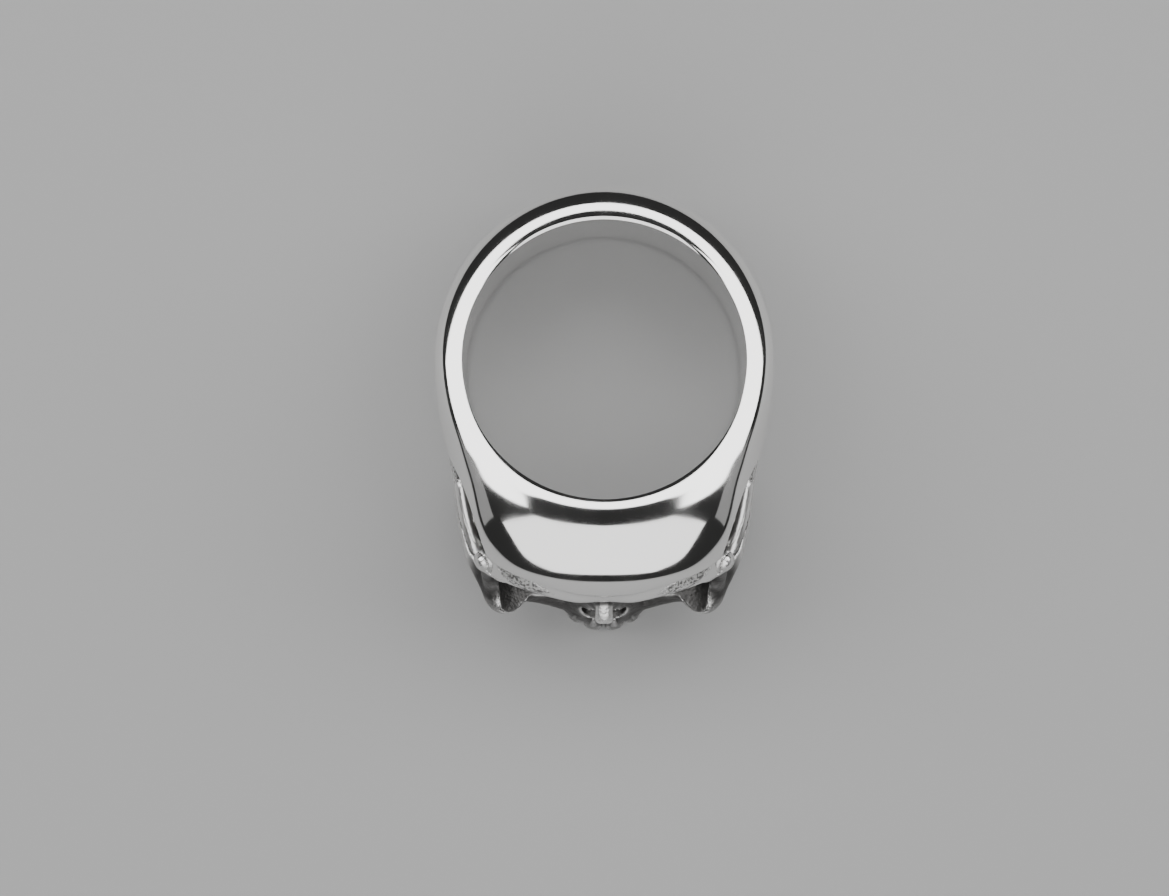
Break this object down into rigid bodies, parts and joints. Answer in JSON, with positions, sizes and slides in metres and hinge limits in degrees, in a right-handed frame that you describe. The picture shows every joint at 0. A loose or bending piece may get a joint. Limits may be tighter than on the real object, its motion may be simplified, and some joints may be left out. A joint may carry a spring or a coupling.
{
  "type": "skull ring",
  "caption": "Wide cast silver finger ring whose front is an anatomical skull without a lower jaw, polished on the cranium and dark in its hollows.",
  "frame": {"origin": "on the finger hole's axis, half way up the band's sides", "axes": "+Z along the finger hole towards the top of the cranium, -Y the way the face looks, +X towards the skull's left side"},
  "size_m": [0.0236, 0.0307, 0.0171],
  "materials": {
    "silver": "sterling silver, mirror polished on the band and cranium, matt and blackened in the temples, eye sockets and between the teeth"
  },
  "bodies": {
    "root": {"skull_ring": "silver"}
  },
  "joints": []
}
